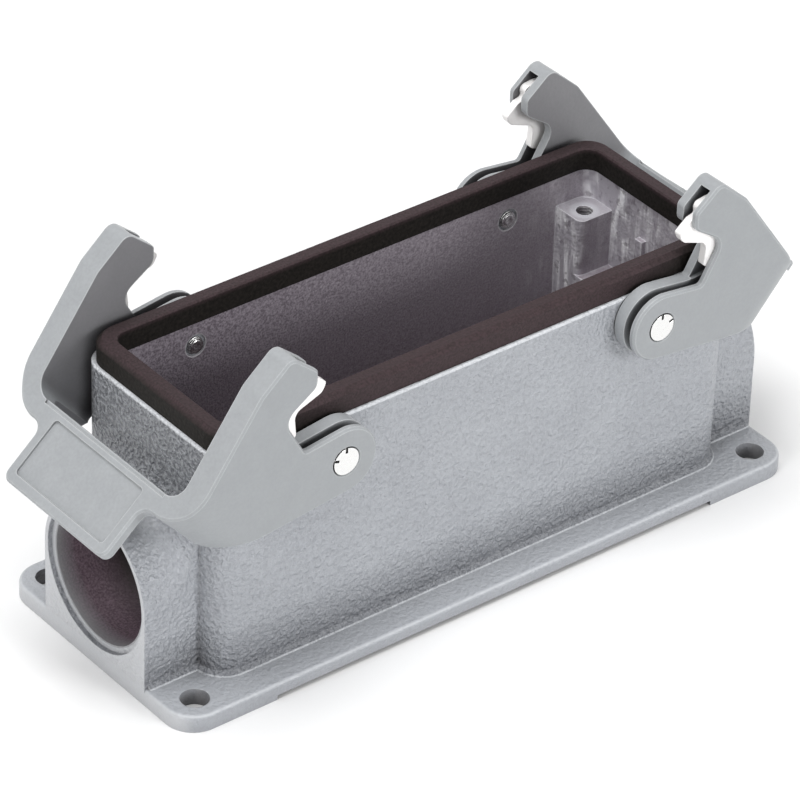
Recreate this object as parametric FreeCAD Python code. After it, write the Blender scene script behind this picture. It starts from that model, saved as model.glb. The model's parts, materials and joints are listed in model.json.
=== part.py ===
import FreeCAD, Part
import math
import os

# Surface mounting housing of a heavy duty rectangular connector, with two locking levers.
# Frame: X along the housing with the cable entry at -X, Z up, origin at the middle of the base.
# All sizes are in millimetres.

# Body
body_length = 120.0
body_width = 43.0
rim_height = 51.2
body_corner_radius = 5.5
side_draft = 0.5
wall = 3.6
cavity_draft = 0.6
cavity_corner_radius = 3.0
floor_height = 4.0
rim_edge_bevel = 0.3

# Base plate, which rests on a foot at each end
plate_thickness = 2.5
foot_height = 1.0
foot_length = 20.5
plate_overhang_end = 12.0
plate_overhang_side = 6.5
plate_corner_radius = 6.0
plate_edge_radius = 0.8
plate_blend = 0.9
fixing_hole_diameter = 5.5
fixing_inset_end = 6.0
fixing_inset_side = 5.5

# End bosses and cable entry
bore_diameter = 26.4
bore_height = 18.93
boss_wall = 2.2
boss_flare_radius = 7.0
flare_steps = 4
entry_recess_diameter = 29.0
entry_recess_depth = 1.0
bore_relief = 0.6

# Pillars for the insert's screws
pillar_inset = 4.4
pillar_length = 7.9
pillar_width = 7.5
pillar_corner_radius = 1.6
pillar_drop = 6.5
pillar_foot_drop = 18.7
pillar_foot_ledge = 1.6
pillar_foot_radius = 1.0
screw_hole_diameter = 3.3
screw_hole_depth = 14.0
stub_width = 2.0
stub_depth = 1.2
stub_height = 5.0
stub_drop = 8.2
stub_offset = 1.3

# Gasket
gasket_height = 4.7
gasket_inset = 0.65
gasket_overhang = 0.5
gasket_bevel = 1.0
gasket_inner_bevel = 0.3
tongue_width = 1.6
tongue_depth = 1.5
groove_clearance = 0.1

# Lever pivots
pivot_inset = 23.35
pivot_drop = 5.23
pin_diameter = 5.5
pin_clearance = 0.06
pin_seat_bevel = 0.3
shank_diameter = 3.2
shank_clearance = 0.02
shank_stand_out = 0.3
rivet_ring_diameter = 4.6
rivet_ring_depth = 0.3
pin_nick_width = 0.5
pin_nick_length = 1.0
pin_nick_depth = 0.4

# Lever arm: two plates with a slot between them, seen along the pin.
# Distances run from the pin's axis: "back" away from the housing's middle, "up" above the pin.
lever_gap = 0.2
inner_plate = 2.6
slot_width = 1.7
pocket_width = 2.5
outer_plate = 1.25
round_end_radius = 6.8
step_back = 9.2
step_up = 5.6
step_radius = 1.0
notch_back = 13.9
notch_up = 13.8
notch_radius = 3.0
nose_back = 6.7
nose_low = 18.6
nose_low_radius = 2.2
nose_high = 22.0
nose_high_radius = 1.2
peak_back = 12.5
peak_up = 26.8
peak_radius = 2.0
shoulder_back = 19.1
shoulder_up = 21.0
shoulder_radius = 4.0
web = 2.4
arm_edge_bevel = 0.4

# Lever crossbar and finger flap, which lie in one sloping plane
crossbar_back = 32.8
crossbar_up = 1.2
flap_slope = 41.2
crossbar_width = 4.2
crossbar_depth = 11.5
crossbar_thickness = 3.0
arch_half_width = 20.3
arch_radius = 2.5
crossbar_inner_radius = 3.75
crossbar_outer_radius = 9.0
crossbar_top_radius = 5.0
crossbar_ledge_width = 0.7
crossbar_ledge_depth = 0.3
flap_thickness = 2.0
flap_width = 30.8
flap_reach = 15.9
flap_corner_radius = 2.0
flap_root_radius = 2.4
recess_width = 26.6
recess_start = 1.8
recess_length = 12.0
recess_depth = 0.5
recess_corner_radius = 0.8

# Lock spring: a flat stamped plate in the arm's pocket, seen along the pin, as (back, up)
spring_thickness = 1.6
spring_web_gap = 0.15
spring_side_gap = 0.1
spring_lip = (4.0, 18.0)
spring_lip_low = (4.8, 16.1)
spring_elbow = (10.9, 13.8)
spring_hook = (10.4, 8.9)
spring_hook_back = (12.9, 8.0)
spring_loop_back = (11.0, 23.3)
spring_loop_front = (8.0, 22.9)
spring_dip = (8.4, 20.6)
spring_crown = (6.7, 20.2)
spring_lip_radius = 0.6
spring_bend_radius = 2.0
spring_tail_length = 9.5
spring_top_length = 6.0

V = FreeCAD.Vector
half_length = body_length / 2
half_width = body_width / 2
plate_top = foot_height + plate_thickness
plate_half_length = half_length + plate_overhang_end
plate_half_width = half_width + plate_overhang_side
cavity_half_length = half_length - wall
cavity_half_width = half_width - wall
pivot_x = half_length - pivot_inset
pivot_z = rim_height - pivot_drop
arm_inner_y = half_width + lever_gap
slot_outer_y = arm_inner_y + inner_plate + slot_width
arm_outer_y = slot_outer_y + outer_plate


def corner_setback(before, corner, after, radius):
    """Distance from a corner to the ends of its arc."""
    half_angle = (before - corner).getAngle(after - corner) / 2
    if radius <= 0 or half_angle > math.radians(89.5):
        return 0.0
    return radius / math.tan(half_angle)


def corner_arc(before, corner, after, setback):
    """Start, middle and end of the arc that rounds a corner."""
    incoming = (before - corner).normalize()
    outgoing = (after - corner).normalize()
    half_angle = incoming.getAngle(outgoing) / 2
    bisector = (incoming + outgoing).normalize()
    depth = setback * (1 - math.sin(half_angle)) / math.cos(half_angle)
    return [corner + incoming * setback, corner + bisector * depth, corner + outgoing * setback]


def rounded_outline(corners):
    """Close a flat outline through (point, radius) corners. Arcs that meet share their side's length."""
    points = [V(*corner[0]) for corner in corners]
    after = points[1:] + points[:1]
    setbacks = [corner_setback(points[index - 1], point, after[index], corners[index][1])
                for index, point in enumerate(points)]
    for index, point in enumerate(points):
        following = (index + 1) % len(points)
        wanted = setbacks[index] + setbacks[following]
        room = 0.99 * point.distanceToPoint(points[following])
        if wanted > room:
            setbacks[index] *= room / wanted
            setbacks[following] *= room / wanted
    turns = [corner_arc(points[index - 1], point, after[index], setbacks[index]) if setbacks[index] else [point]
             for index, point in enumerate(points)]
    edges = []
    for index, turn in enumerate(turns):
        if len(turn) == 3:
            edges.append(Part.Arc(*turn).toShape())
        start = turn[-1]
        end = turns[(index + 1) % len(turns)][0]
        if start.distanceToPoint(end) > 1e-6:
            edges.append(Part.LineSegment(start, end).toShape())
    return Part.Wire(edges)


def extruded(corners, direction):
    return Part.Face(rounded_outline(corners)).extrude(direction)


def rectangle(half_x, half_y, radius, z):
    """Outline of a rounded rectangle about the Z axis."""
    sides = ((-1, -1), (1, -1), (1, 1), (-1, 1))
    return rounded_outline([((x * half_x, y * half_y, z), radius) for x, y in sides])


def slab(half_x, half_y, radius, bottom, top):
    return Part.Face(rectangle(half_x, half_y, radius, bottom)).extrude(V(0, 0, top - bottom))


def drafted(half_x, half_y, shrink_x, shrink_y, radius, bottom, top):
    """A block whose walls lean in towards its bottom, with its upright edges rounded."""
    turns = ((-1, -1), (1, -1), (1, 1), (-1, 1))
    lower = [V(x * (half_x - shrink_x), y * (half_y - shrink_y), bottom) for x, y in turns]
    upper = [V(x * half_x, y * half_y, top) for x, y in turns]
    loops = [lower[::-1], upper]
    for index in range(4):
        following = (index + 1) % 4
        loops.append([lower[index], lower[following], upper[following], upper[index]])
    faces = [Part.Face(Part.makePolygon(loop + loop[:1])) for loop in loops]
    block = Part.Solid(Part.Shell(faces))
    return block.makeFillet(radius, edges_where(block, lambda edge: edge.BoundBox.ZLength > (top - bottom) / 2))


def corner_signs():
    return [(x, y) for x in (-1, 1) for y in (-1, 1)]


def edges_where(shape, wanted):
    return [edge for edge in shape.Edges if wanted(edge)]


def on_side(edge, y):
    """Tell whether an edge lies in the plane at either y or -y."""
    return edge.BoundBox.YLength < 1e-3 and abs(abs(edge.CenterOfMass.y) - y) < 1e-3


def level(edge, z):
    """Tell whether an edge lies flat at one height."""
    return max(abs(vertex.Z - z) for vertex in edge.Vertexes) < 1e-4 and edge.BoundBox.ZLength < 1e-3


# Housing, a die casting: plate, drafted body and two end bosses in one piece

def boss(side):
    """A round boss that flares into the end wall, flush with the plate's end."""
    radius = bore_diameter / 2 + boss_wall
    end_x = plate_half_length
    block = Part.makeCylinder(radius, plate_overhang_end + wall, V(end_x, 0, bore_height), V(-1, 0, 0))
    foot = Part.makeBox(plate_overhang_end + wall, 2 * radius, bore_height - foot_height)
    foot.translate(V(end_x - plate_overhang_end - wall, -radius, foot_height))
    flare_end = half_length + boss_flare_radius
    axis = V(flare_end, 0, bore_height)
    inside_x = half_length - wall / 2
    reach = radius + boss_flare_radius
    corners = [V(inside_x, 0, bore_height), axis]
    for index in range(flare_steps + 1):
        angle = math.pi / 2 * index / flare_steps
        corners.append(axis + V(-boss_flare_radius * math.sin(angle), 0, reach - boss_flare_radius * math.cos(angle)))
    corners.append(V(inside_x, 0, bore_height + reach))
    outline = Part.makePolygon(corners + corners[:1])
    flare = Part.Face(outline).revolve(axis, V(1, 0, 0), 360)
    strip = Part.makeBox(flare_end - inside_x, 2 * radius, reach, V(inside_x, -radius, bore_height))
    shape = block.fuse([foot, flare.common(strip)])
    blend_length = plate_overhang_end - plate_edge_radius
    for y in (-1, 1):
        corners = [V(half_length, y * radius, plate_top), V(half_length, y * (radius + plate_blend), plate_top),
                   V(half_length, y * radius, plate_top + plate_blend)]
        shape = shape.fuse(Part.Face(Part.makePolygon(corners + corners[:1])).extrude(V(blend_length, 0, 0)))
    if side < 0:
        shape.rotate(V(0, 0, 0), V(0, 0, 1), 180)
    return shape


def corner_block(length, width, radius, top):
    """A block in the cavity's corner, sunk into both walls, with its free upright edge rounded."""
    sunk = wall / 2
    end_x = cavity_half_length + sunk
    end_y = cavity_half_width + sunk
    return extruded([
        ((cavity_half_length - length, cavity_half_width - width, floor_height), radius),
        ((end_x, cavity_half_width - width, floor_height), 0),
        ((end_x, end_y, floor_height), 0),
        ((cavity_half_length - length, end_y, floor_height), 0),
    ], V(0, 0, top - floor_height))


def pillar(side_x, side_y):
    """A screw pillar in a corner of the cavity, on a foot that stands out along the end wall."""
    top = rim_height - pillar_drop
    shape = corner_block(pillar_length, pillar_width, pillar_corner_radius, top)
    shape = shape.fuse(corner_block(pillar_length, pillar_width + pillar_foot_ledge, pillar_foot_radius,
                                    rim_height - pillar_foot_drop))
    centre = V(cavity_half_length - pillar_inset, cavity_half_width - pillar_inset, top - screw_hole_depth)
    shape = shape.cut(Part.makeCylinder(screw_hole_diameter / 2, screw_hole_depth, centre))
    if side_x < 0:
        shape = shape.mirror(V(0, 0, 0), V(1, 0, 0))
    if side_y < 0:
        shape = shape.mirror(V(0, 0, 0), V(0, 1, 0))
    return shape


def groove_ring(clearance, bottom, top):
    """The frame-shaped ring that seats the gasket's tongue in the rim."""
    middle = (gasket_inset + wall + gasket_overhang) / 2
    half_ring = tongue_width / 2 + clearance
    outer = middle - half_ring
    inner = middle + half_ring
    outside = slab(half_length - outer, half_width - outer, body_corner_radius - outer, bottom, top)
    inside = slab(half_length - inner, half_width - inner, body_corner_radius - inner, bottom, top)
    return outside.cut(inside)


def make_housing():
    plate = slab(plate_half_length, plate_half_width, plate_corner_radius, 0, plate_top)
    plate = plate.makeFillet(plate_edge_radius, edges_where(plate, lambda edge: level(edge, plate_top)))
    gap_half = plate_half_length - foot_length
    under = Part.makeBox(2 * gap_half, 2 * plate_half_width, foot_height, V(-gap_half, -plate_half_width, 0))
    body = drafted(half_length, half_width, 0, side_draft, body_corner_radius, foot_height, rim_height)
    shape = plate.cut(under).fuse(body)
    foot_line = edges_where(shape, lambda edge: level(edge, plate_top)
                            and abs(edge.CenterOfMass.x) < half_length + 1e-3 and abs(edge.CenterOfMass.y) < half_width)
    shape = shape.makeChamfer(plate_blend, foot_line)
    shape = shape.fuse([boss(-1), boss(1)]).removeSplitter()
    rim = edges_where(shape, lambda edge: level(edge, rim_height))
    shape = shape.makeChamfer(rim_edge_bevel, rim)
    cavity = drafted(cavity_half_length, cavity_half_width, cavity_draft, cavity_draft,
                     cavity_corner_radius, floor_height, rim_height)
    shape = shape.cut(cavity)
    relief = Part.makeCylinder(bore_diameter / 2 + bore_relief, cavity_half_length,
                               V(-cavity_half_length, 0, bore_height), V(1, 0, 0))
    pillars = [pillar(x, y).cut(relief) for x, y in corner_signs()]
    stub = Part.makeBox(stub_depth + wall / 2, stub_width, stub_height)
    stub.translate(V(cavity_half_length - stub_depth, stub_offset - stub_width / 2,
                     rim_height - stub_drop - stub_height))
    shape = shape.fuse(pillars + [stub])
    cuts = [groove_ring(groove_clearance, rim_height - tongue_depth - groove_clearance, rim_height)]
    bore_length = plate_overhang_end + wall + pillar_length
    cuts.append(Part.makeCylinder(bore_diameter / 2, bore_length, V(-plate_half_length, 0, bore_height), V(1, 0, 0)))
    cuts.append(Part.makeCylinder(entry_recess_diameter / 2, entry_recess_depth,
                                  V(-plate_half_length, 0, bore_height), V(1, 0, 0)))
    for x, y in corner_signs():
        centre = V(x * (plate_half_length - fixing_inset_end), y * (plate_half_width - fixing_inset_side), 0)
        cuts.append(Part.makeCylinder(fixing_hole_diameter / 2, plate_top, centre))
        shank_hole = Part.makeCylinder(shank_diameter / 2 + shank_clearance, 2 * wall,
                                       V(x * pivot_x, y * (half_width - 1.5 * wall), pivot_z), V(0, y, 0))
        ring = Part.makeCylinder(rivet_ring_diameter / 2, wall,
                                 V(x * pivot_x, y * (cavity_half_width + rivet_ring_depth), pivot_z), V(0, -y, 0))
        cuts += [shank_hole, ring]
    return shape.cut(cuts).removeSplitter()


# Gasket, one moulded rubber frame with a tongue in the rim's groove

def make_gasket():
    top = rim_height + gasket_height
    inner_inset = wall + gasket_overhang
    outside = slab(half_length - gasket_inset, half_width - gasket_inset, body_corner_radius, rim_height, top)
    outside = outside.makeChamfer(gasket_bevel, edges_where(outside, lambda edge: level(edge, top)))
    inside = slab(half_length - inner_inset, half_width - inner_inset, cavity_corner_radius, rim_height, top)
    shape = outside.cut(inside)
    limit = half_width - inner_inset + 1e-3
    inner = edges_where(shape, lambda edge: level(edge, top) and edge.BoundBox.YMax < limit
                        and edge.BoundBox.YMin > -limit and abs(edge.CenterOfMass.x) < half_length - inner_inset + 1e-3)
    shape = shape.makeChamfer(gasket_inner_bevel, inner)
    return shape.fuse(groove_ring(0, rim_height - tongue_depth, rim_height)).removeSplitter()


# Locking lever, one moulding: two forked arms, a crossbar behind the housing's end and a finger flap.
# It is built for the left end, where "back" is -X, and turned for the right end.

slope = math.radians(flap_slope)
flap_along = V(-math.cos(slope), 0, -math.sin(slope))
flap_normal = V(-math.sin(slope), 0, math.cos(slope))
pivot = V(-pivot_x, 0, pivot_z)
flap_origin = pivot + V(-crossbar_back, 0, crossbar_up)


def from_pin(back, up, y=0.0):
    return tuple(pivot + V(-back, y, up))


def in_flap(along, y, lift=0.0):
    """A point in the flap's plane, measured from the crossbar's inner edge."""
    return tuple(flap_origin + flap_along * along + V(0, y, 0) + flap_normal * lift)


def tangent_corner(point, side):
    """Where the tangent from a point to the round end meets that end's front tangent line."""
    back, up = pivot.x - point[0], point[2] - pivot.z
    direction = math.atan2(-up, back) + side * math.asin(round_end_radius / math.hypot(back, up))
    return from_pin(-round_end_radius, up + (back + round_end_radius) * math.tan(direction))


def web_corner(before, corner, after):
    """Move a corner of the arm's back edge inwards by the web's thickness."""
    def inward(start, end):
        along = (V(*end) - V(*start)).normalize()
        return V(along.z, 0, -along.x)
    first = inward(before, corner)
    second = inward(corner, after)
    bisector = (first + second).normalize()
    return tuple(V(*corner) - bisector * (web / bisector.dot(first)))


def back_edge_end():
    """Where the arm's back edge meets the crossbar's top."""
    return in_flap(crossbar_width / 4, 0)


def lever_side_view():
    """The whole lever seen along the pin, with the flap's plate at the back."""
    step = from_pin(step_back, step_up)
    heel = in_flap(crossbar_width, 0, -crossbar_depth)
    return [
        (tangent_corner(heel, -1), round_end_radius),
        (tangent_corner(step, 1), round_end_radius),
        (step, step_radius),
        (from_pin(notch_back, notch_up), notch_radius),
        (from_pin(nose_back, nose_low), nose_low_radius),
        (from_pin(nose_back, nose_high), nose_high_radius),
        (from_pin(peak_back, peak_up), peak_radius),
        (from_pin(shoulder_back, shoulder_up), shoulder_radius),
        (back_edge_end(), crossbar_top_radius),
        (in_flap(flap_reach, 0), 0),
        (in_flap(flap_reach, 0, -flap_thickness), 0),
        (in_flap(crossbar_width, 0, -flap_thickness), 0),
        (heel, 0),
    ]


def lever_plan(start):
    """The lever's outer outline in the flap's plane, from its arms to the flap's end."""
    half_flap = flap_width / 2
    return [
        (in_flap(start, -arm_outer_y), 0),
        (in_flap(crossbar_width, -arm_outer_y), crossbar_outer_radius),
        (in_flap(crossbar_width, -half_flap), flap_root_radius),
        (in_flap(flap_reach, -half_flap), flap_corner_radius),
        (in_flap(flap_reach, half_flap), flap_corner_radius),
        (in_flap(crossbar_width, half_flap), flap_root_radius),
        (in_flap(crossbar_width, arm_outer_y), crossbar_outer_radius),
        (in_flap(start, arm_outer_y), 0),
    ]


def slot_back():
    """The slot's closed side, one web's thickness inside the arm's back edge."""
    peak = V(*from_pin(peak_back, peak_up))
    shoulder = V(*from_pin(shoulder_back, shoulder_up))
    web_shoulder = V(*web_corner(peak, shoulder, back_edge_end()))
    rise = (peak - shoulder).normalize()
    fall = (V(*back_edge_end()) - shoulder).normalize()
    return web_shoulder + rise * (2 * round_end_radius), web_shoulder, web_shoulder + fall * (shoulder_up - step_up)


def slot_outline():
    """The slot seen along the pin: open at the nose, notch and round end, closed by the back web."""
    web_top, web_shoulder, web_end = slot_back()
    beyond = round_end_radius + web
    return [
        (tuple(web_top), 0),
        (tuple(web_shoulder), shoulder_radius),
        (tuple(web_end), web),
        (from_pin(2 * step_back, -step_up), web),
        (from_pin(step_back, -round_end_radius), 0),
        (from_pin(step_back, -beyond), 0),
        (from_pin(-beyond, -beyond), 0),
        (from_pin(-beyond, peak_up), 0),
    ]


def pocket_outline():
    """The wider part of the slot above the step, which holds the lock spring."""
    web_top, web_shoulder, web_end = slot_back()
    beyond = round_end_radius + web
    return [
        (tuple(web_top), 0),
        (tuple(web_shoulder), shoulder_radius),
        (tuple(web_end), web),
        (from_pin(step_back, step_up), 0),
        (from_pin(step_back, step_up + step_radius), 0),
        (from_pin(-beyond, notch_up), 0),
        (from_pin(-beyond, peak_up), 0),
    ]


def sunk_panel(start, end, half_panel, radius, depth):
    """A shallow rectangle to cut from the top of the crossbar and flap."""
    outline = [(in_flap(along, y, -depth), radius) for along, y in (
        (start, -half_panel), (end, -half_panel), (end, half_panel), (start, half_panel))]
    return extruded(outline, flap_normal * (2 * depth))


def make_lever():
    far_y = arm_outer_y + web
    side_view = [((x, -far_y, z), radius) for (x, _, z), radius in lever_side_view()]
    shape = extruded(side_view, V(0, 2 * far_y, 0))
    start = -crossbar_back - peak_up - round_end_radius
    lift = peak_up + crossbar_back
    plan = [(tuple(V(*point) - flap_normal * lift), radius) for point, radius in lever_plan(start)]
    shape = shape.common(extruded(plan, flap_normal * (2 * lift)))
    inner = [
        (in_flap(0, -arm_inner_y, -lift), crossbar_inner_radius),
        (in_flap(0, arm_inner_y, -lift), crossbar_inner_radius),
        (in_flap(start - web, arm_inner_y, -lift), 0),
        (in_flap(start - web, -arm_inner_y, -lift), 0),
    ]
    shape = shape.cut(extruded(inner, flap_normal * (2 * lift))).removeSplitter()
    shape = shape.makeChamfer(arm_edge_bevel, edges_where(shape, lambda edge: on_side(edge, arm_outer_y)))
    cuts = [
        sunk_panel(recess_start, recess_start + recess_length, recess_width / 2, recess_corner_radius, recess_depth),
        sunk_panel(-web, crossbar_ledge_width, arm_inner_y - crossbar_inner_radius, 0, crossbar_ledge_depth),
        extruded([
            (in_flap(-web, -arch_half_width, -2 * crossbar_depth), 0),
            (in_flap(-web, -arch_half_width, -crossbar_thickness), arch_radius),
            (in_flap(-web, arch_half_width, -crossbar_thickness), arch_radius),
            (in_flap(-web, arch_half_width, -2 * crossbar_depth), 0),
        ], flap_along * (2 * crossbar_width + web)),
    ]
    bore_radius = pin_diameter / 2 + pin_clearance
    for side in (-1, 1):
        for outline, width in ((slot_outline(), slot_width), (pocket_outline(), pocket_width)):
            flat = [((x, side * slot_outer_y, z), radius) for (x, _, z), radius in outline]
            cuts.append(extruded(flat, V(0, -side * width, 0)))
        cuts.append(Part.makeCylinder(bore_radius, arm_outer_y - half_width,
                                      V(-pivot_x, side * half_width, pivot_z), V(0, side, 0)))
        cuts.append(Part.makeCone(bore_radius + pin_seat_bevel, bore_radius, pin_seat_bevel,
                                  V(-pivot_x, side * arm_outer_y, pivot_z), V(0, -side, 0)))
    return shape.cut(cuts).removeSplitter()


# Lock spring, a flat stamped stainless plate that lines the notch and ends in a lip ahead of the nose

def make_spring(side):
    start_y = side * (slot_outer_y - spring_side_gap)
    web_top, web_shoulder, web_end = slot_back()
    rise = (web_top - web_shoulder).normalize()
    fall = (web_end - web_shoulder).normalize()
    inner_shoulder = web_shoulder + (rise + fall).normalize() * (spring_web_gap / math.sin(rise.getAngle(fall) / 2))
    outline = [
        (from_pin(*spring_lip), spring_lip_radius),
        (from_pin(*spring_lip_low), spring_bend_radius),
        (from_pin(*spring_elbow), spring_bend_radius),
        (from_pin(*spring_hook), spring_lip_radius),
        (from_pin(*spring_hook_back), spring_lip_radius),
        (tuple(inner_shoulder + fall * spring_tail_length), spring_lip_radius),
        (tuple(inner_shoulder), shoulder_radius),
        (tuple(inner_shoulder + rise * spring_top_length), spring_lip_radius),
        (from_pin(*spring_loop_back), 2 * spring_lip_radius),
        (from_pin(*spring_loop_front), 2 * spring_lip_radius),
        (from_pin(*spring_dip), spring_lip_radius),
        (from_pin(*spring_crown), spring_lip_radius),
    ]
    flat = [((x, start_y, z), radius) for (x, _, z), radius in outline]
    return extruded(flat, V(0, -side * spring_thickness, 0))


# Pivot pin: a journal through the arm, a shank pressed through the wall and peened inside

def make_pin(side):
    journal = Part.makeCylinder(pin_diameter / 2, arm_outer_y - half_width,
                                V(-pivot_x, side * half_width, pivot_z), V(0, side, 0))
    shank_end = cavity_half_width - shank_stand_out
    shank = Part.makeCylinder(shank_diameter / 2, half_width - shank_end,
                              V(-pivot_x, side * shank_end, pivot_z), V(0, side, 0))
    shape = journal.fuse(shank).removeSplitter()
    nicks = []
    for turn in (90, 160):
        nick = Part.makeBox(pin_nick_length, 2 * pin_nick_depth, pin_nick_width)
        nick.translate(V(pin_diameter / 2 - pin_nick_length, -pin_nick_depth, -pin_nick_width / 2))
        nick.rotate(V(0, 0, 0), V(0, 1, 0), -turn)
        nick.translate(V(-pivot_x, side * arm_outer_y, pivot_z))
        nicks.append(nick)
    return shape.cut(nicks)


def turned(shape):
    """The same piece for the right end."""
    copy = shape.copy()
    copy.rotate(V(0, 0, 0), V(0, 0, 1), 180)
    return copy


pieces = {"housing": make_housing(), "rim_gasket": make_gasket()}
lever = make_lever()
pieces["lever_left"] = lever
pieces["lever_right"] = turned(lever)
for place, side in (("near", -1), ("far", 1)):
    spring = make_spring(side)
    pieces["lock_spring_left_" + place] = spring
    pieces["lock_spring_right_" + place] = turned(make_spring(-side))
    pieces["pivot_pin_left_" + place] = make_pin(side)
    pieces["pivot_pin_right_" + place] = turned(make_pin(-side))

os.makedirs("parts", exist_ok=True)
for name, shape in pieces.items():
    solids = shape.Solids
    assert shape.isValid(), name + " is not valid"
    assert len(solids) == 1, name + " has " + str(len(solids)) + " solids"
    solids[0].exportStep("parts/" + name + ".step")
    print(name, round(solids[0].Volume), "mm3")
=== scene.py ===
import json
import math

import bmesh
import bpy
from mathutils import Matrix, Vector


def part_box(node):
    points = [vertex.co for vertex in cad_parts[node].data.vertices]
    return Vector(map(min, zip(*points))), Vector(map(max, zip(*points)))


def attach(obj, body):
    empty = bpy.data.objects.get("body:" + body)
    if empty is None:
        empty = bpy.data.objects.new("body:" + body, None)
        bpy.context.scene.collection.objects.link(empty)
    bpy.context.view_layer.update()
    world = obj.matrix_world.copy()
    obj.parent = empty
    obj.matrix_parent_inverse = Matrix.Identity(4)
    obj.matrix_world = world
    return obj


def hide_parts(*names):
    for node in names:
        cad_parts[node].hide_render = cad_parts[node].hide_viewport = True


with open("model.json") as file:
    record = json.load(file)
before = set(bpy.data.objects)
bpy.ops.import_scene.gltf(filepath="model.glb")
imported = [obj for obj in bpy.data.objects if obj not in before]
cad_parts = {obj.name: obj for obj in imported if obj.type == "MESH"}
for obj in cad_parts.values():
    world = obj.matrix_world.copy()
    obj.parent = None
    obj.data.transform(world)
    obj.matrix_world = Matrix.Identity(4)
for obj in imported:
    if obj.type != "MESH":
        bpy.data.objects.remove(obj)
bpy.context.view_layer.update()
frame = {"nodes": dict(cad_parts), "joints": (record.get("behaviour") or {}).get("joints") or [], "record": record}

scene = bpy.context.scene
scene.view_settings.view_transform = "Standard"


# Camera: the photograph's view, from the cable entry's end and the near side, well above the
# rim, through a long lens. The small shift keeps the photograph's framing.

camera_azimuth = math.radians(-39.193)
camera_elevation = math.radians(34.477)
camera_roll = math.radians(2.065)
camera_distance = 1.002475
camera_aim_right = -0.0031
camera_aim_up = 0.024534

back = Vector((math.sin(camera_azimuth) * math.cos(camera_elevation),
               -math.cos(camera_azimuth) * math.cos(camera_elevation),
               math.sin(camera_elevation)))
level_right = (-back).cross(Vector((0, 0, 1))).normalized()
level_up = level_right.cross(-back)
right = level_right * math.cos(camera_roll) + level_up * math.sin(camera_roll)
up = level_up * math.cos(camera_roll) - level_right * math.sin(camera_roll)
camera_data = bpy.data.cameras.new("photo_camera")
camera_data.lens = 239.34
camera_data.sensor_width = 36.0
camera_data.shift_x = 0.0127
camera_data.shift_y = -0.0030
camera_data.clip_start = 0.05
camera_data.clip_end = 20.0
camera = bpy.data.objects.new("photo_camera", camera_data)
scene.collection.objects.link(camera)
place = right * camera_aim_right + up * camera_aim_up + back * camera_distance
camera.matrix_world = Matrix((
    (right.x, up.x, back.x, place.x),
    (right.y, up.y, back.y, place.y),
    (right.z, up.z, back.z, place.z),
    (0, 0, 0, 1)))
scene.camera = camera


# Housing: one aluminium die casting. Outside it has a grey powder coat with an orange peel
# texture. The cavity is bare, dull cast metal, with bright flow marks at the end away from the
# cable entry, brightened further on faces toward the entry's end as painted light.

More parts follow.
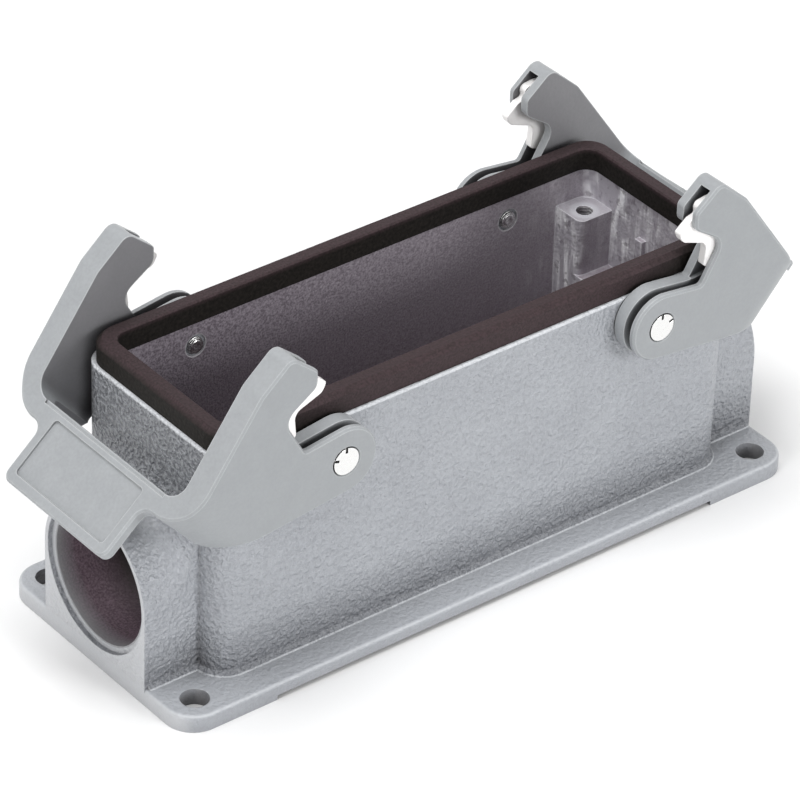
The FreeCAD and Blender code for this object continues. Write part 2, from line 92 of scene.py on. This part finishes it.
class Finish:
    """One material and its node tree, with short ways to add and join nodes."""

    def __init__(self, name, color, roughness, metallic=0.0):
        self.material = bpy.data.materials.new(name)
        self.material.use_nodes = True
        self.tree = self.material.node_tree
        self.shader = self.tree.nodes["Principled BSDF"]
        self.shader.inputs["Base Color"].default_value = (*color, 1)
        self.shader.inputs["Roughness"].default_value = roughness
        self.shader.inputs["Metallic"].default_value = metallic
        coordinates = self.tree.nodes.new("ShaderNodeTexCoord")
        self.place = coordinates.outputs["Object"]
        self.normal = coordinates.outputs["Normal"]

    def join(self, output, socket):
        self.tree.links.new(output, socket)

    def drive(self, name, output):
        """Let an output drive one of the shader's own sockets."""
        self.join(output, self.shader.inputs[name])

    def split(self, vector):
        node = self.tree.nodes.new("ShaderNodeSeparateXYZ")
        self.join(vector, node.inputs["Vector"])
        return node.outputs["X"], node.outputs["Y"], node.outputs["Z"]

    def work_out(self, operation, first, second=0.0):
        """One sum on one or two values, each a plain number or another node's output."""
        node = self.tree.nodes.new("ShaderNodeMath")
        node.operation = operation
        for socket, value in zip(node.inputs, (first, second)):
            if isinstance(value, (int, float)):
                socket.default_value = value
            else:
                self.join(value, socket)
        return node.outputs["Value"]

    def product(self, *values):
        """All the values multiplied, such as patterns that each keep part of a surface."""
        result = values[0]
        for value in values[1:]:
            result = self.work_out("MULTIPLY", result, value)
        return result

    def plus(self, first, second):
        return self.work_out("ADD", first, second)

    def minus(self, first, second):
        return self.work_out("SUBTRACT", first, second)

    def above(self, value, limit):
        return self.work_out("GREATER_THAN", value, limit)

    def below(self, value, limit):
        return self.work_out("LESS_THAN", value, limit)

    def size_of(self, value):
        return self.work_out("ABSOLUTE", value)

    def radius(self, first, second):
        """Length of the pair of values, such as the distance from an axis."""
        squares = self.plus(self.product(first, first), self.product(second, second))
        return self.work_out("SQRT", squares)

    def ramp(self, value, start, end, low=0.0, high=1.0):
        """Carry a value from start..end to low..high, held at both ends."""
        node = self.tree.nodes.new("ShaderNodeMapRange")
        for name, number in (("From Min", start), ("From Max", end), ("To Min", low), ("To Max", high)):
            node.inputs[name].default_value = number
        self.join(value, node.inputs["Value"])
        return node.outputs["Result"]

    def grain(self, scale, detail=2.0, stretch=None):
        """Noise on the object's own coordinates, about 1/scale metres from grain to grain."""
        source = self.place
        if stretch:
            mapping = self.tree.nodes.new("ShaderNodeMapping")
            mapping.inputs["Scale"].default_value = stretch
            self.join(source, mapping.inputs["Vector"])
            source = mapping.outputs["Vector"]
        noise = self.tree.nodes.new("ShaderNodeTexNoise")
        noise.inputs["Scale"].default_value = scale
        noise.inputs["Detail"].default_value = detail
        self.join(source, noise.inputs["Vector"])
        return noise.outputs["Fac"]

    def openness(self, distance):
        """How open the surroundings are within a distance: 0 in a tight gap, 1 on a free face."""
        node = self.tree.nodes.new("ShaderNodeAmbientOcclusion")
        node.samples = 8
        node.inputs["Distance"].default_value = distance
        return node.outputs["AO"]

    def softened(self, width, samples):
        """The surface's direction with its edges rounded over a width."""
        node = self.tree.nodes.new("ShaderNodeBevel")
        node.samples = samples
        node.inputs["Radius"].default_value = width
        return node.outputs["Normal"]

    def painted_edge_light(self, width, flat, sharp, most):
        """Painted highlight on edges: up to most where the surface turns away from its softened direction."""
        surface = self.tree.nodes.new("ShaderNodeNewGeometry")
        turning = self.tree.nodes.new("ShaderNodeVectorMath")
        turning.operation = "DOT_PRODUCT"
        self.join(self.softened(width, 8), turning.inputs[0])
        self.join(surface.outputs["Normal"], turning.inputs[1])
        return self.ramp(turning.outputs["Value"], flat, sharp, 0.0, most)

    def blend(self, amount, first, second):
        """Mix two colours, each a plain colour or another node's output."""
        node = self.tree.nodes.new("ShaderNodeMix")
        node.data_type = "RGBA"
        self.join(amount, node.inputs["Factor"])
        for socket, value in ((node.inputs[6], first), (node.inputs[7], second)):
            if isinstance(value, tuple):
                socket.default_value = (*value, 1)
            else:
                self.join(value, socket)
        return node.outputs[2]

    def layers(self, base, *coats):
        """Lay colours over a base in turn, each given as how much and which colour."""
        for amount, color in coats:
            base = self.blend(amount, base, color)
        return base

    def bump(self, height, depth, strength, edge):
        """Raise the surface by a height pattern, over edges softened by a small radius."""
        node = self.tree.nodes.new("ShaderNodeBump")
        node.inputs["Distance"].default_value = depth
        node.inputs["Strength"].default_value = strength
        self.join(height, node.inputs["Height"])
        self.join(self.softened(edge, 6), node.inputs["Normal"])
        self.drive("Normal", node.outputs["Normal"])

    def dress(self, *nodes):
        """Give CAD nodes this finish."""
        for node in nodes:
            slots = frame["nodes"][node].data.materials
            slots.clear()
            slots.append(self.material)


mounts = {mount["name"]: mount for mount in frame["record"]["mounts"]}
hinges = {joint["name"]: joint["pos_m"] for joint in frame["joints"]}
entry_radius = mounts["cable_entry"]["dims"]["r_mm"] / 1000
entry_z = mounts["cable_entry"]["pos_m"][2]
screw_pattern = mounts["insert_screws"]["dims"]
pillar_x = screw_pattern["spacing_x_mm"] / 2000
pillar_y = screw_pattern["spacing_y_mm"] / 2000
pillar_z = mounts["insert_screws"]["pos_m"][2]
pin_x, _, pin_z = hinges["right_lever_hinge"]
rim_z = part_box("housing")[1][2]
plate_z = mounts["fixing_holes"]["pos_m"][2]
cavity_x = 0.0564            # half the cavity's length at the rim
cavity_y = 0.0179            # half its width
cavity_floor = 0.0040
entry_end_x = -0.0560        # where the entry's bore opens into the cavity
skin = 0.0003                # how far a pattern reaches past the faces that it covers

coat = Finish("textured_powder_coat", (0.32, 0.33, 0.35), 0.42)
x, y, z = coat.split(coat.place)
face_x, _, face_z = coat.split(coat.normal)
far_x = coat.size_of(x)
far_y = coat.size_of(y)
inside = coat.product(
    coat.below(far_x, cavity_x + skin), coat.below(far_y, cavity_y + skin),
    coat.above(z, cavity_floor - skin), coat.below(z, rim_z + skin))
from_entry_axis = coat.radius(y, coat.minus(z, entry_z))
bore = coat.product(coat.below(from_entry_axis, entry_radius + skin), coat.below(x, entry_end_x))
bare = coat.work_out("MAXIMUM", inside, bore)

# The coat: clouded grey, paler on faces that turn up as painted light, with painted shade in the
# pits of its peel, painted glints, and painted highlights along its edges, on the plate's edge
# fillet and just under the rim. The end walls are coarser and darker as painted shade, the foot of
# the walls and tight gaps are darkened as painted shade, and the boss's end face is lightened as
# painted light.
peel = coat.ramp(coat.grain(1250.0, 1.0), 0.30, 0.70)
speck = coat.grain(2600.0)
cloud = coat.ramp(coat.grain(60.0), 0.35, 0.65)
upward = coat.ramp(face_z, 0.6, 0.95)
peel_pit_shade = coat.ramp(peel, 0.0, 0.6, 0.13, 0.0)
painted_glints = coat.ramp(speck, 0.62, 0.72, 0.0, 0.3)
facing_end = coat.ramp(coat.size_of(face_x), 0.55, 0.9)
boss_face = coat.product(facing_end, coat.ramp(far_x, 0.0630, 0.0640, 0.0, 0.95))
end_wall = coat.product(facing_end, coat.ramp(z, 0.030, 0.038, 0.22, 1.0))
coarse_peel = coat.ramp(coat.grain(1250.0), 0.42, 0.60)
coarse_shaded_color = coat.blend(coarse_peel, (0.095, 0.098, 0.108), (0.36, 0.37, 0.39))
plate_limit = plate_z + 0.00022
wall_foot_shade = coat.product(coat.ramp(z, 0.0145, 0.0050, 0.0, 0.6), coat.above(z, plate_limit))
plate_edge_highlight = coat.product(
    coat.ramp(face_z, 0.45, 0.65), coat.ramp(face_z, 0.94, 0.84), coat.below(z, plate_limit), 0.42)
edge_highlight = coat.painted_edge_light(width=0.0005, flat=0.99, sharp=0.80, most=0.30)
rim_highlight = coat.product(
    coat.ramp(z, rim_z - 0.0006, rim_z - 0.0004), coat.ramp(z, rim_z + 0.0001, rim_z), 0.7)
gap_shade = coat.ramp(coat.openness(0.013), 0.15, 0.6, 0.8, 0.0)
# Over the clouded grey: painted light, painted shade, painted glints and painted highlights, as above.
coat_color = coat.layers(
    coat.blend(cloud, (0.345, 0.358, 0.386), (0.370, 0.384, 0.412)),
    (upward, (0.435, 0.450, 0.478)),
    (peel_pit_shade, (0.155, 0.160, 0.175)),
    (painted_glints, (0.50, 0.52, 0.55)),
    (coat.product(end_wall, 0.55), coarse_shaded_color),
    (wall_foot_shade, (0.13, 0.135, 0.15)),
    (boss_face, (0.53, 0.54, 0.56)),
    (plate_edge_highlight, (0.66, 0.68, 0.70)),
    (edge_highlight, (0.60, 0.62, 0.65)),
    (rim_highlight, (0.74, 0.76, 0.79)),
    (gap_shade, (0.05, 0.045, 0.045)))

# Flow marks: bright streaks and patches with dark flecks, at the end away from the cable entry,
# stronger on faces that turn toward the entry's end, which is painted light.
streak = coat.ramp(coat.grain(700.0, 3.0, (1.0, 1.0, 0.14)), 0.42, 0.60)
patch = coat.ramp(coat.grain(260.0), 0.36, 0.62)
flecks = coat.ramp(coat.grain(520.0, 3.0), 0.56, 0.66, 0.0, 0.6)
flow_color = coat.layers(
    coat.blend(coat.product(streak, patch), (0.43, 0.41, 0.45), (0.96, 0.96, 0.98)),
    (flecks, (0.14, 0.12, 0.14)))
wander = coat.ramp(coat.grain(70.0), 0.3, 0.7, -0.006, 0.006)
flow_marks_and_light = coat.product(
    coat.ramp(coat.plus(x, wander), 0.034, 0.048),
    coat.ramp(face_x, -0.3, -0.85, 0.2, 1.0),
    coat.ramp(y, -0.010, 0.008, 0.45, 1.0))

# The cast metal: specked, lighter towards the end away from the cable entry as painted light,
# purple and then nearly black towards the floor as painted shade, bright on the pillars' tops, with
# a painted highlight along its edges, and with a pressed ring round each pin's peened end that has a
# painted highlight on its edge and painted shade inside it. The entry's bore is grey at its mouth
# and nearly black deeper in, as painted shade.
speckle = coat.ramp(speck, 0.33, 0.68)
from_pillar_axis = coat.radius(coat.minus(far_x, pillar_x), coat.minus(far_y, pillar_y))
pillar_top = coat.product(
    coat.above(z, pillar_z - 0.0007), coat.ramp(face_z, 0.5, 0.9),
    coat.ramp(from_pillar_axis, 0.0025, 0.0032, 1.0, 0.45))
ring_radius = 0.0023
from_pin_axis = coat.radius(coat.minus(far_x, pin_x), coat.minus(z, pin_z))
ring_edge_highlight = coat.product(
    coat.ramp(from_pin_axis, ring_radius - 0.00015, ring_radius - 0.00008),
    coat.ramp(from_pin_axis, ring_radius + 0.00015, ring_radius + 0.00006), 0.75)
ring_floor_shade = coat.ramp(from_pin_axis, ring_radius - 0.00018, ring_radius - 0.00014, 0.85, 0.0)
bore_metal_and_shade = coat.layers(
    coat.blend(speckle, (0.14, 0.098, 0.120), (0.29, 0.215, 0.255)),
    (coat.ramp(x, -0.0712, -0.0670, 1.0, 0.0), (0.36, 0.365, 0.375)),
    (coat.ramp(x, -0.0640, -0.0575), (0.045, 0.036, 0.036)))
metal_color = coat.layers(
    coat.blend(speckle, (0.155, 0.130, 0.155), (0.385, 0.345, 0.390)),
    (coat.ramp(x, -0.03, 0.05, 0.0, 0.4), (0.52, 0.48, 0.52)),
    (coat.ramp(z, 0.044, 0.018, 0.0, 0.5), (0.22, 0.165, 0.20)),
    (coat.ramp(z, 0.017, 0.009, 0.0, 0.85), (0.035, 0.028, 0.026)),
    (flow_marks_and_light, flow_color),
    (pillar_top, (0.56, 0.555, 0.59)),
    (coat.product(edge_highlight, 2.0), (0.80, 0.80, 0.83)),
    (ring_edge_highlight, (0.70, 0.68, 0.71)),
    (ring_floor_shade, (0.03, 0.025, 0.03)),
    (bore, bore_metal_and_shade))

coat.drive("Base Color", coat.blend(bare, coat_color, metal_color))
coat.drive("Metallic", coat.ramp(bare, 0.0, 1.0, 0.0, 0.3))
coat.drive("Roughness", coat.ramp(bare, 0.0, 1.0, 0.36, 0.55))
relief = coat.product(
    peel,
    coat.plus(coat.product(end_wall, 1.4), coat.ramp(upward, 0.0, 1.0, 1.0, 0.6)),
    coat.ramp(bare, 0.0, 1.0, 1.0, 0.15),
    coat.ramp(z, 0.0034, 0.0038, 0.2, 1.0),
    coat.ramp(boss_face, 0.0, 1.0, 1.0, 0.2),
    coat.ramp(z, 0.016, 0.006, 1.0, 1.8))
coat.bump(coat.plus(relief, coat.product(speck, 0.2)), depth=0.00028, strength=1.0, edge=0.00025)

# The shown housing is a copy with its seams joined and its shallow edges shaded smooth.
seam_width = 1e-6
shallow_turn = math.radians(27)
joined = bmesh.new()
joined.from_mesh(frame["nodes"]["housing"].data)
bmesh.ops.remove_doubles(joined, verts=joined.verts, dist=seam_width)
for face in joined.faces:
    face.smooth = True
for edge in joined.edges:
    edge.smooth = edge.calc_face_angle(math.pi) < shallow_turn
casting_mesh = bpy.data.meshes.new("casting")
joined.to_mesh(casting_mesh)
joined.free()
casting_mesh.materials.append(coat.material)
casting = bpy.data.objects.new("casting", casting_mesh)
scene.collection.objects.link(casting)
weighing = casting.modifiers.new("flat_faces_lead", "WEIGHTED_NORMAL")
weighing.keep_sharp = True
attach(casting, "housing_body")
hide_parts("housing")


# Threads in the four screw pillars: metric threads tapped into the cast metal, which take the
# insert's screws. Rings at the thread's pitch stand for the thread, one stack for each hole.

def node_group(name, sizes):
    """Start a Geometry Nodes tree with named sizes in metres, and return it with its two ends."""
    tree = bpy.data.node_groups.new(name, "GeometryNodeTree")
    tree.interface.new_socket("Geometry", in_out="INPUT", socket_type="NodeSocketGeometry")
    for size, value in sizes.items():
        kind = "NodeSocketInt" if isinstance(value, int) else "NodeSocketFloat"
        tree.interface.new_socket(size, in_out="INPUT", socket_type=kind).default_value = value
    tree.interface.new_socket("Geometry", in_out="OUTPUT", socket_type="NodeSocketGeometry")
    return tree, tree.nodes.new("NodeGroupInput"), tree.nodes.new("NodeGroupOutput")


def math_node(tree, operation, factor):
    """Add a sum with a fixed second number, and return its input and its output."""
    node = tree.nodes.new("ShaderNodeMath")
    node.operation = operation
    node.inputs[1].default_value = factor
    return node.inputs[0], node.outputs[0]


def finish_tree(tree, instances, output, material):
    """End a tree in real geometry that has its material."""
    realize = tree.nodes.new("GeometryNodeRealizeInstances")
    paint = tree.nodes.new("GeometryNodeSetMaterial")
    paint.inputs["Material"].default_value = material
    tree.links.new(instances, realize.inputs[0])
    tree.links.new(realize.outputs[0], paint.inputs["Geometry"])
    tree.links.new(paint.outputs["Geometry"], output.inputs[0])


def grow(name, points, tree, sizes, material, body):
    """Run a tree on a few points, keep the result as a plain mesh and ride it on its body."""
    seed_mesh = bpy.data.meshes.new(name + "_points")
    seed_mesh.from_pydata(points, [], [])
    seed = bpy.data.objects.new(name + "_points", seed_mesh)
    scene.collection.objects.link(seed)
    modifier = seed.modifiers.new("pattern", "NODES")
    modifier.node_group = tree
    for item in tree.interface.items_tree:
        if item.item_type == "SOCKET" and item.in_out == "INPUT" and item.name in sizes:
            modifier[item.identifier] = sizes[item.name]
    evaluated = seed.evaluated_get(bpy.context.evaluated_depsgraph_get())
    mesh = bpy.data.meshes.new_from_object(evaluated)
    bpy.data.objects.remove(seed)
    mesh.materials.clear()               # the tree leaves an empty slot before its own
    mesh.materials.append(material)
    for face in mesh.polygons:
        face.use_smooth = True
    piece = bpy.data.objects.new(name, mesh)
    scene.collection.objects.link(piece)
    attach(piece, body)


thread_crest = 0.00013
tapped_radius = screw_pattern["hole_r_mm"] / 1000 - 0.00002
thread_start_z = pillar_z - 0.0004
ring_points = 32
crest_points = 4

thread_sizes = {"Bore Radius": tapped_radius, "Pitch": 0.0007, "Crest": thread_crest, "Turns": 16}
threads, entry, end = node_group("screw_thread", thread_sizes)
ring = threads.nodes.new("GeometryNodeCurvePrimitiveCircle")
ring.inputs["Resolution"].default_value = ring_points
section = threads.nodes.new("GeometryNodeCurvePrimitiveCircle")
section.inputs["Resolution"].default_value = crest_points
sweep = threads.nodes.new("GeometryNodeCurveToMesh")
stack = threads.nodes.new("GeometryNodeMeshLine")
step = threads.nodes.new("ShaderNodeCombineXYZ")
pitch, fall = math_node(threads, "MULTIPLY", -1.0)
turns = threads.nodes.new("GeometryNodeInstanceOnPoints")
holes = threads.nodes.new("GeometryNodeInstanceOnPoints")
for output, socket in (
        (entry.outputs["Bore Radius"], ring.inputs["Radius"]),
        (entry.outputs["Crest"], section.inputs["Radius"]),
        (ring.outputs["Curve"], sweep.inputs["Curve"]),
        (section.outputs["Curve"], sweep.inputs["Profile Curve"]),
        (entry.outputs["Pitch"], pitch),
        (fall, step.inputs["Z"]),
        (step.outputs[0], stack.inputs["Offset"]),
        (entry.outputs["Turns"], stack.inputs["Count"]),
        (stack.outputs["Mesh"], turns.inputs["Points"]),
        (sweep.outputs["Mesh"], turns.inputs["Instance"]),
        (entry.outputs["Geometry"], holes.inputs["Points"]),
        (turns.outputs["Instances"], holes.inputs["Instance"])):
    threads.links.new(output, socket)
tapped_metal = Finish("tapped_cast_metal", (0.20, 0.19, 0.20), 0.35, 0.8)
finish_tree(threads, holes.outputs["Instances"], end, tapped_metal.material)
hole_tops = [(side * pillar_x, row * pillar_y, thread_start_z) for side in (-1, 1) for row in (-1, 1)]
grow("insert_screw_threads", hole_tops, threads, thread_sizes, tapped_metal.material,
     "housing_body")


# Gasket: one moulded frame of dark rubber, held by its tongue in the rim's groove. Its top and
# outer sides are brownish, partly dust and partly a painted sheen where light falls, and the brown
# fades in tight gaps as painted shade; its inner sides are nearly black.

rubber = Finish("rim_rubber", (0.04, 0.032, 0.03), 0.6)
rubber.shader.inputs["Specular IOR Level"].default_value = 0.15
_, rubber_y, rubber_z = rubber.split(rubber.place)
gasket_side_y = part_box("rim_gasket")[1][1]
gasket_top_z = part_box("rim_gasket")[1][2]
on_top = rubber.ramp(rubber_z, gasket_top_z - 0.0012, gasket_top_z - 0.0003)
on_sides = rubber.ramp(rubber.size_of(rubber_y), gasket_side_y - 0.00125, gasket_side_y - 0.00045)
dust_and_sheen = rubber.product(
    rubber.work_out("MAXIMUM", on_top, on_sides),
    rubber.ramp(rubber.grain(2200.0), 0.36, 0.64, 0.5, 1.0),
    rubber.ramp(rubber.openness(0.012), 0.35, 0.8))
rubber_grain = rubber.grain(1500.0, 3.0)
rubber.drive("Base Color", rubber.layers(
    rubber.blend(rubber.ramp(rubber_grain, 0.35, 0.7), (0.008, 0.007, 0.006), (0.020, 0.017, 0.015)),
    (dust_and_sheen, (0.050, 0.0325, 0.036))))
rubber.bump(rubber_grain, depth=0.00012, strength=0.6, edge=0.0002)
rubber.dress("rim_gasket")


# Levers: smooth grey mouldings with two forked arms, a crossbar and a finger flap. Their edges
# get a painted highlight, the arms' faces are darkened as painted shade, the inner faces more than
# the outer ones, and tight slots are darkened as painted shade.

moulding = Finish("lever_moulding", (0.35, 0.365, 0.378), 0.38)
_, arm_y, _ = moulding.split(moulding.place)
_, arm_side, _ = moulding.split(moulding.normal)
away_from_middle = moulding.product(arm_y, arm_side)
cloudy = moulding.ramp(moulding.grain(220.0, 3.0), 0.35, 0.65)
mottle = moulding.ramp(moulding.grain(1700.0), 0.35, 0.65, 0.16, 0.0)
inner_face_shade = moulding.ramp(away_from_middle, -0.012, -0.020, 0.0, 0.62)
outer_face_shade = moulding.ramp(away_from_middle, 0.012, 0.020, 0.0, 0.5)
lever_edge_highlight = moulding.painted_edge_light(width=0.00045, flat=0.995, sharp=0.86, most=0.75)
tight_gap_shade = moulding.ramp(moulding.openness(0.004), 0.22, 0.62, 0.92, 0.0)
moulding.drive("Base Color", moulding.layers(
    moulding.blend(cloudy, (0.328, 0.342, 0.356), (0.350, 0.364, 0.378)),
    (mottle, (0.20, 0.205, 0.21)),
    (inner_face_shade, (0.140, 0.130, 0.138)),
    (outer_face_shade, (0.262, 0.276, 0.287)),
    (lever_edge_highlight, (0.60, 0.62, 0.63)),
    (tight_gap_shade, (0.02, 0.018, 0.02))))
moulding.bump(moulding.grain(1300.0), depth=0.00006, strength=0.5, edge=0.00035)
moulding.dress("lever_left", "lever_right")


# Lock springs: flat plates stamped from stainless sheet, one in the slot of each lever arm. They
# are bright, with a faint uneven grain.

stamped = Finish("stamped_stainless", (0.94, 0.925, 0.915), 0.36, 0.25)
sheet_grain = stamped.grain(700.0, 3.0, (1.0, 0.2, 1.0))
stamped.drive("Roughness", stamped.ramp(sheet_grain, 0.3, 0.7, 0.3, 0.5))
stamped.bump(stamped.grain(2400.0), depth=0.00002, strength=0.5, edge=0.0003)
stamped.dress(*[node for node in frame["nodes"] if node.startswith("lock_spring")])


# Pivot pins: turned stainless steel, with a flat bright head on the arm's outer face. Inside the
# cavity the shank is peened over into a button on a thin flange, one for each of the four pins.

turned = Finish("turned_stainless", (0.86, 0.86, 0.85), 0.22, 1.0)
# Nearly black where the surface is closed in, such as round each head: painted shade.
open_face = turned.ramp(turned.openness(0.0012), 0.3, 0.75)
turned.drive("Roughness", turned.ramp(turned.grain(1800.0, 3.0), 0.3, 0.7, 0.15, 0.32))
turned.drive("Base Color", turned.blend(open_face, (0.04, 0.04, 0.04), (0.80, 0.80, 0.79)))
turned.bump(turned.grain(1200.0), depth=0.00004, strength=0.5, edge=0.0002)
turned.dress(*[node for node in frame["nodes"] if node.startswith("pivot_pin")])

# The button is turned about the Y axis, from its flange to a dimple in the middle of its crown.
button_profile = (       # radius, height above the flange's foot
    (0.00175, 0.0), (0.00175, 0.0001), (0.00162, 0.00018), (0.00145, 0.0002),
    (0.0014, 0.00042), (0.00118, 0.00062), (0.0008, 0.0007), (0.0005, 0.00058))
dimple_height = 0.0005
button_sides = 36

button_form = bmesh.new()
rows = []
for radius, height in button_profile:
    angles = [math.tau * side / button_sides for side in range(button_sides)]
    rows.append([button_form.verts.new((radius * math.cos(angle), height, radius * math.sin(angle)))
                 for angle in angles])
crown = button_form.verts.new((0, dimple_height, 0))
for lower, higher in zip(rows, rows[1:]):
    for side in range(button_sides):
        button_form.faces.new((lower[side], lower[side - 1], higher[side - 1], higher[side]))
for side in range(button_sides):
    button_form.faces.new((rows[-1][side], rows[-1][side - 1], crown))
button_form.faces.new(rows[0])
bmesh.ops.recalc_face_normals(button_form, faces=button_form.faces)
button_mesh = bpy.data.meshes.new("peened_button")
button_form.to_mesh(button_mesh)
button_form.free()
button = bpy.data.objects.new("peened_button", button_mesh)
scene.collection.objects.link(button)

button_sizes = {"Button Scale": 1.0}
buttons, entry, end = node_group("peened_ends", button_sizes)
shape = buttons.nodes.new("GeometryNodeObjectInfo")
shape.inputs["Object"].default_value = button
spot = buttons.nodes.new("GeometryNodeInputPosition")
spot_axes = buttons.nodes.new("ShaderNodeSeparateXYZ")
wall_side, on_far_wall = math_node(buttons, "GREATER_THAN", 0.0)
switched, half_turn = math_node(buttons, "MULTIPLY", math.pi)
facing = buttons.nodes.new("ShaderNodeCombineXYZ")
set_out = buttons.nodes.new("GeometryNodeInstanceOnPoints")
for output, socket in (
        (spot.outputs[0], spot_axes.inputs[0]),
        (spot_axes.outputs["Y"], wall_side),
        (on_far_wall, switched),
        (half_turn, facing.inputs["Z"]),
        (facing.outputs[0], set_out.inputs["Rotation"]),
        (shape.outputs["Geometry"], set_out.inputs["Instance"]),
        (entry.outputs["Geometry"], set_out.inputs["Points"]),
        (entry.outputs["Button Scale"], set_out.inputs["Scale"])):
    buttons.links.new(output, socket)
finish_tree(buttons, set_out.outputs["Instances"], end, turned.material)
flange_foot_y = cavity_y + 0.00025
shank_ends = [(side * pin_x, row * flange_foot_y, pin_z) for side in (-1, 1) for row in (-1, 1)]
grow("peened_shank_ends", shank_ends, buttons, button_sizes, turned.material,
     "housing_body")
bpy.data.objects.remove(button)


# Floor and studio: a pale floor that runs to the horizon, a soft key light from the near side,
# soft lights from above and from the cable entry's end, and a white world behind.

floor_half = 3.0
floor_corners = [(turn_x * floor_half, turn_y * floor_half, 0)
                 for turn_x, turn_y in ((-1, -1), (1, -1), (1, 1), (-1, 1))]
floor_mesh = bpy.data.meshes.new("studio_floor")
floor_mesh.from_pydata(floor_corners, [], [(0, 1, 2, 3)])
floor = bpy.data.objects.new("studio_floor", floor_mesh)
scene.collection.objects.link(floor)
floor_paint = Finish("pale_floor", (0.92, 0.92, 0.92), 0.9)
floor_mesh.materials.append(floor_paint.material)

# The world is white where it is seen, straight or in metal, and lights the object at half that.
world_light = 0.5
world = bpy.data.worlds.new("studio")
scene.world = world
world.use_nodes = True
sky = world.node_tree
backdrop = sky.nodes["Background"]
backdrop.inputs["Color"].default_value = (1, 1, 1, 1)
rays = sky.nodes.new("ShaderNodeLightPath")
seen = rays.outputs["Is Camera Ray"]
for kind in ("Is Glossy Ray", "Is Transmission Ray"):
    either = sky.nodes.new("ShaderNodeMath")
    either.operation = "MAXIMUM"
    sky.links.new(seen, either.inputs[0])
    sky.links.new(rays.outputs[kind], either.inputs[1])
    seen = either.outputs["Value"]
level = sky.nodes.new("ShaderNodeMapRange")
level.inputs["To Min"].default_value = world_light
sky.links.new(seen, level.inputs["Value"])
sky.links.new(level.outputs["Result"], backdrop.inputs["Strength"])


def area_light(name, place, size, power):
    """A square lamp that points at the middle of the housing."""
    data = bpy.data.lights.new(name, "AREA")
    data.shape = "SQUARE"
    data.size = size
    data.energy = power
    light = bpy.data.objects.new(name, data)
    light.location = place
    toward_housing = Vector((0, 0, 0.03)) - Vector(place)
    light.rotation_euler = toward_housing.to_track_quat("-Z", "Y").to_euler()
    scene.collection.objects.link(light)


area_light("key", (0.45, -1.36, 0.5), 0.5, 8.9)
area_light("top", (-0.2, 0.1, 1.4), 0.8, 13.0)
area_light("side", (-1.2, -0.3, 0.6), 0.5, 4.0)
